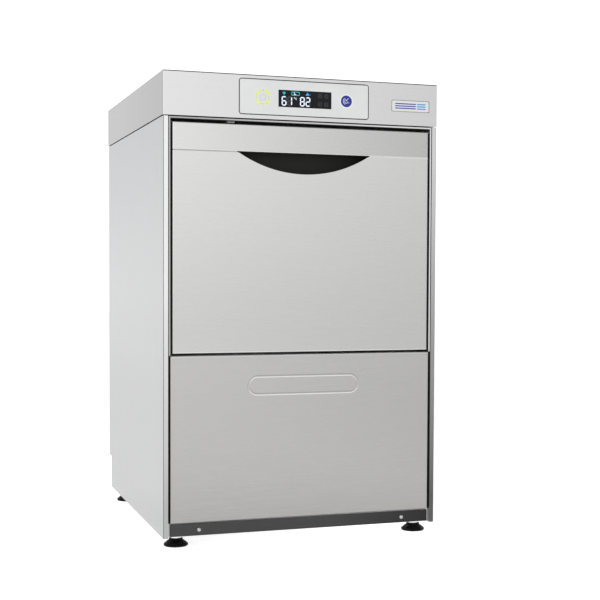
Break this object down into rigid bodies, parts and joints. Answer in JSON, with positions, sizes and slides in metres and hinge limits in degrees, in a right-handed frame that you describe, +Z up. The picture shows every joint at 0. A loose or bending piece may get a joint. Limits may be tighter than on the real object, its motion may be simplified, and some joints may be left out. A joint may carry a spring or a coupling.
{
  "type": "glass washer machine",
  "caption": "Under-counter glass washer with a drop-down front door over a square wash chamber, rotating spray arms above and below, a lid-front control panel and levelling feet.",
  "frame": {"origin": "on the floor under the middle of the machine, with the feet screwed in and the door shut", "axes": "+X to the user's right, +Y towards the back, +Z up; the control panel faces -Y"},
  "size_m": [0.45, 0.53, 0.73],
  "materials": {
    "outer_steel": "brushed",
    "door_steel": "brushed",
    "panel_steel": "brushed",
    "inner_steel": "satin",
    "kick_steel": "brushed dark grey",
    "fastener_steel": "plain",
    "control_plastic": "light grey, satin",
    "display_glass": "black, glossy",
    "ring_green": "yellow-green, lit",
    "button_white": "pale grey",
    "button_blue": "deep blue",
    "badge_metal": "satin",
    "black_plastic": "matt black",
    "grey_plastic": "mid grey",
    "seal_rubber": "matt black",
    "hose_rubber": "matt black",
    "circuit_board": "green lacquer",
    "heater_steel": "dull",
    "motor_metal": "cast",
    "valve_plastic": "off-white",
    "clear_plastic": "blue"
  },
  "bodies": {
    "cabinet": {"lid": "outer_steel", "side_panel_left": "outer_steel", "side_panel_right": "outer_steel", "back_panel": "outer_steel", "panel_screws": "fastener_steel", "base_tray": "inner_steel", "kick_plate": "kick_steel", "front_panel": "panel_steel", "front_frame": "outer_steel", "door_catch": "fastener_steel", "control_bezel": "control_plastic", "display_window": "display_glass", "power_ring": "ring_green", "badge": "badge_metal", "display_board": "circuit_board", "hinge_brackets": "fastener_steel", "chamber_hood": "inner_steel", "wash_tank": "inner_steel", "filter_plates": "inner_steel", "filter_cup": "grey_plastic", "standpipe": "grey_plastic", "tank_heater": "heater_steel", "rack_rails": "inner_steel", "lower_spindle": "grey_plastic", "upper_spindle": "grey_plastic", "arm_caps": "black_plastic", "wash_riser": "inner_steel", "wash_pump_housing": "black_plastic", "wash_pump_motor": "motor_metal", "suction_hose": "hose_rubber", "delivery_hose": "hose_rubber", "rinse_boiler": "inner_steel", "boiler_heater": "heater_steel", "rinse_hose": "hose_rubber", "inlet_valve": "valve_plastic", "drain_spigot": "grey_plastic", "mains_gland": "black_plastic", "drain_pump": "valve_plastic", "drain_hose": "hose_rubber", "dosing_pumps": "grey_plastic", "terminal_block": "valve_plastic", "control_board": "circuit_board"},
    "door": {"door_skin": "door_steel", "door_handle": "door_steel", "grip_pocket": "black_plastic", "door_liner": "inner_steel", "door_seal": "seal_rubber", "hinge_arms": "fastener_steel", "hinge_bushes": "grey_plastic"},
    "power_button": {"power_button": "button_white"},
    "start_button": {"start_button": "button_blue"},
    "lower_wash_arm": {"lower_wash_arm": "clear_plastic"},
    "lower_rinse_arm": {"lower_rinse_arm": "inner_steel"},
    "upper_wash_arm": {"upper_wash_arm": "clear_plastic"},
    "upper_rinse_arm": {"upper_rinse_arm": "inner_steel"},
    "wash_pump_rotor": {"wash_pump_rotor": "motor_metal"},
    "foot_front_left": {"foot_front_left": "black_plastic"},
    "foot_front_right": {"foot_front_right": "black_plastic"},
    "foot_rear_left": {"foot_rear_left": "black_plastic"},
    "foot_rear_right": {"foot_rear_right": "black_plastic"}
  },
  "joints": [
    {"name": "door_hinge", "type": "hinge", "parent": "cabinet", "child": "door", "pos_m": [0, -0.256, 0.31], "axis": [1, 0, 0], "range_deg": [0, 90]},
    {"name": "power_button_press", "type": "slide", "parent": "cabinet", "child": "power_button", "axis": [0, 1, 0], "range_m": [0, 0.001], "stiffness_N_per_m": 1500},
    {"name": "start_button_press", "type": "slide", "parent": "cabinet", "child": "start_button", "axis": [0, 1, 0], "range_m": [0, 0.001], "stiffness_N_per_m": 1500},
    {"name": "lower_wash_arm_spin", "type": "hinge", "parent": "cabinet", "child": "lower_wash_arm", "pos_m": [0, 0, 0.331], "axis": [0, 0, 1], "continuous": true},
    {"name": "lower_rinse_arm_spin", "type": "hinge", "parent": "cabinet", "child": "lower_rinse_arm", "pos_m": [0, 0, 0.343], "axis": [0, 0, 1], "continuous": true},
    {"name": "upper_wash_arm_spin", "type": "hinge", "parent": "cabinet", "child": "upper_wash_arm", "pos_m": [0, 0, 0.628], "axis": [0, 0, 1], "continuous": true},
    {"name": "upper_rinse_arm_spin", "type": "hinge", "parent": "cabinet", "child": "upper_rinse_arm", "pos_m": [0, 0, 0.615], "axis": [0, 0, 1], "continuous": true},
    {"name": "wash_pump_spin", "type": "hinge", "parent": "cabinet", "child": "wash_pump_rotor", "pos_m": [-0.13, 0.095, 0.1], "axis": [1, 0, 0], "continuous": true},
    {"name": "foot_front_left_level", "type": "slide", "parent": "cabinet", "child": "foot_front_left", "axis": [0, 0, -1], "range_m": [0, 0.02]},
    {"name": "foot_front_right_level", "type": "slide", "parent": "cabinet", "child": "foot_front_right", "axis": [0, 0, -1], "range_m": [0, 0.02]},
    {"name": "foot_rear_left_level", "type": "slide", "parent": "cabinet", "child": "foot_rear_left", "axis": [0, 0, -1], "range_m": [0, 0.02]},
    {"name": "foot_rear_right_level", "type": "slide", "parent": "cabinet", "child": "foot_rear_right", "axis": [0, 0, -1], "range_m": [0, 0.02]}
  ]
}
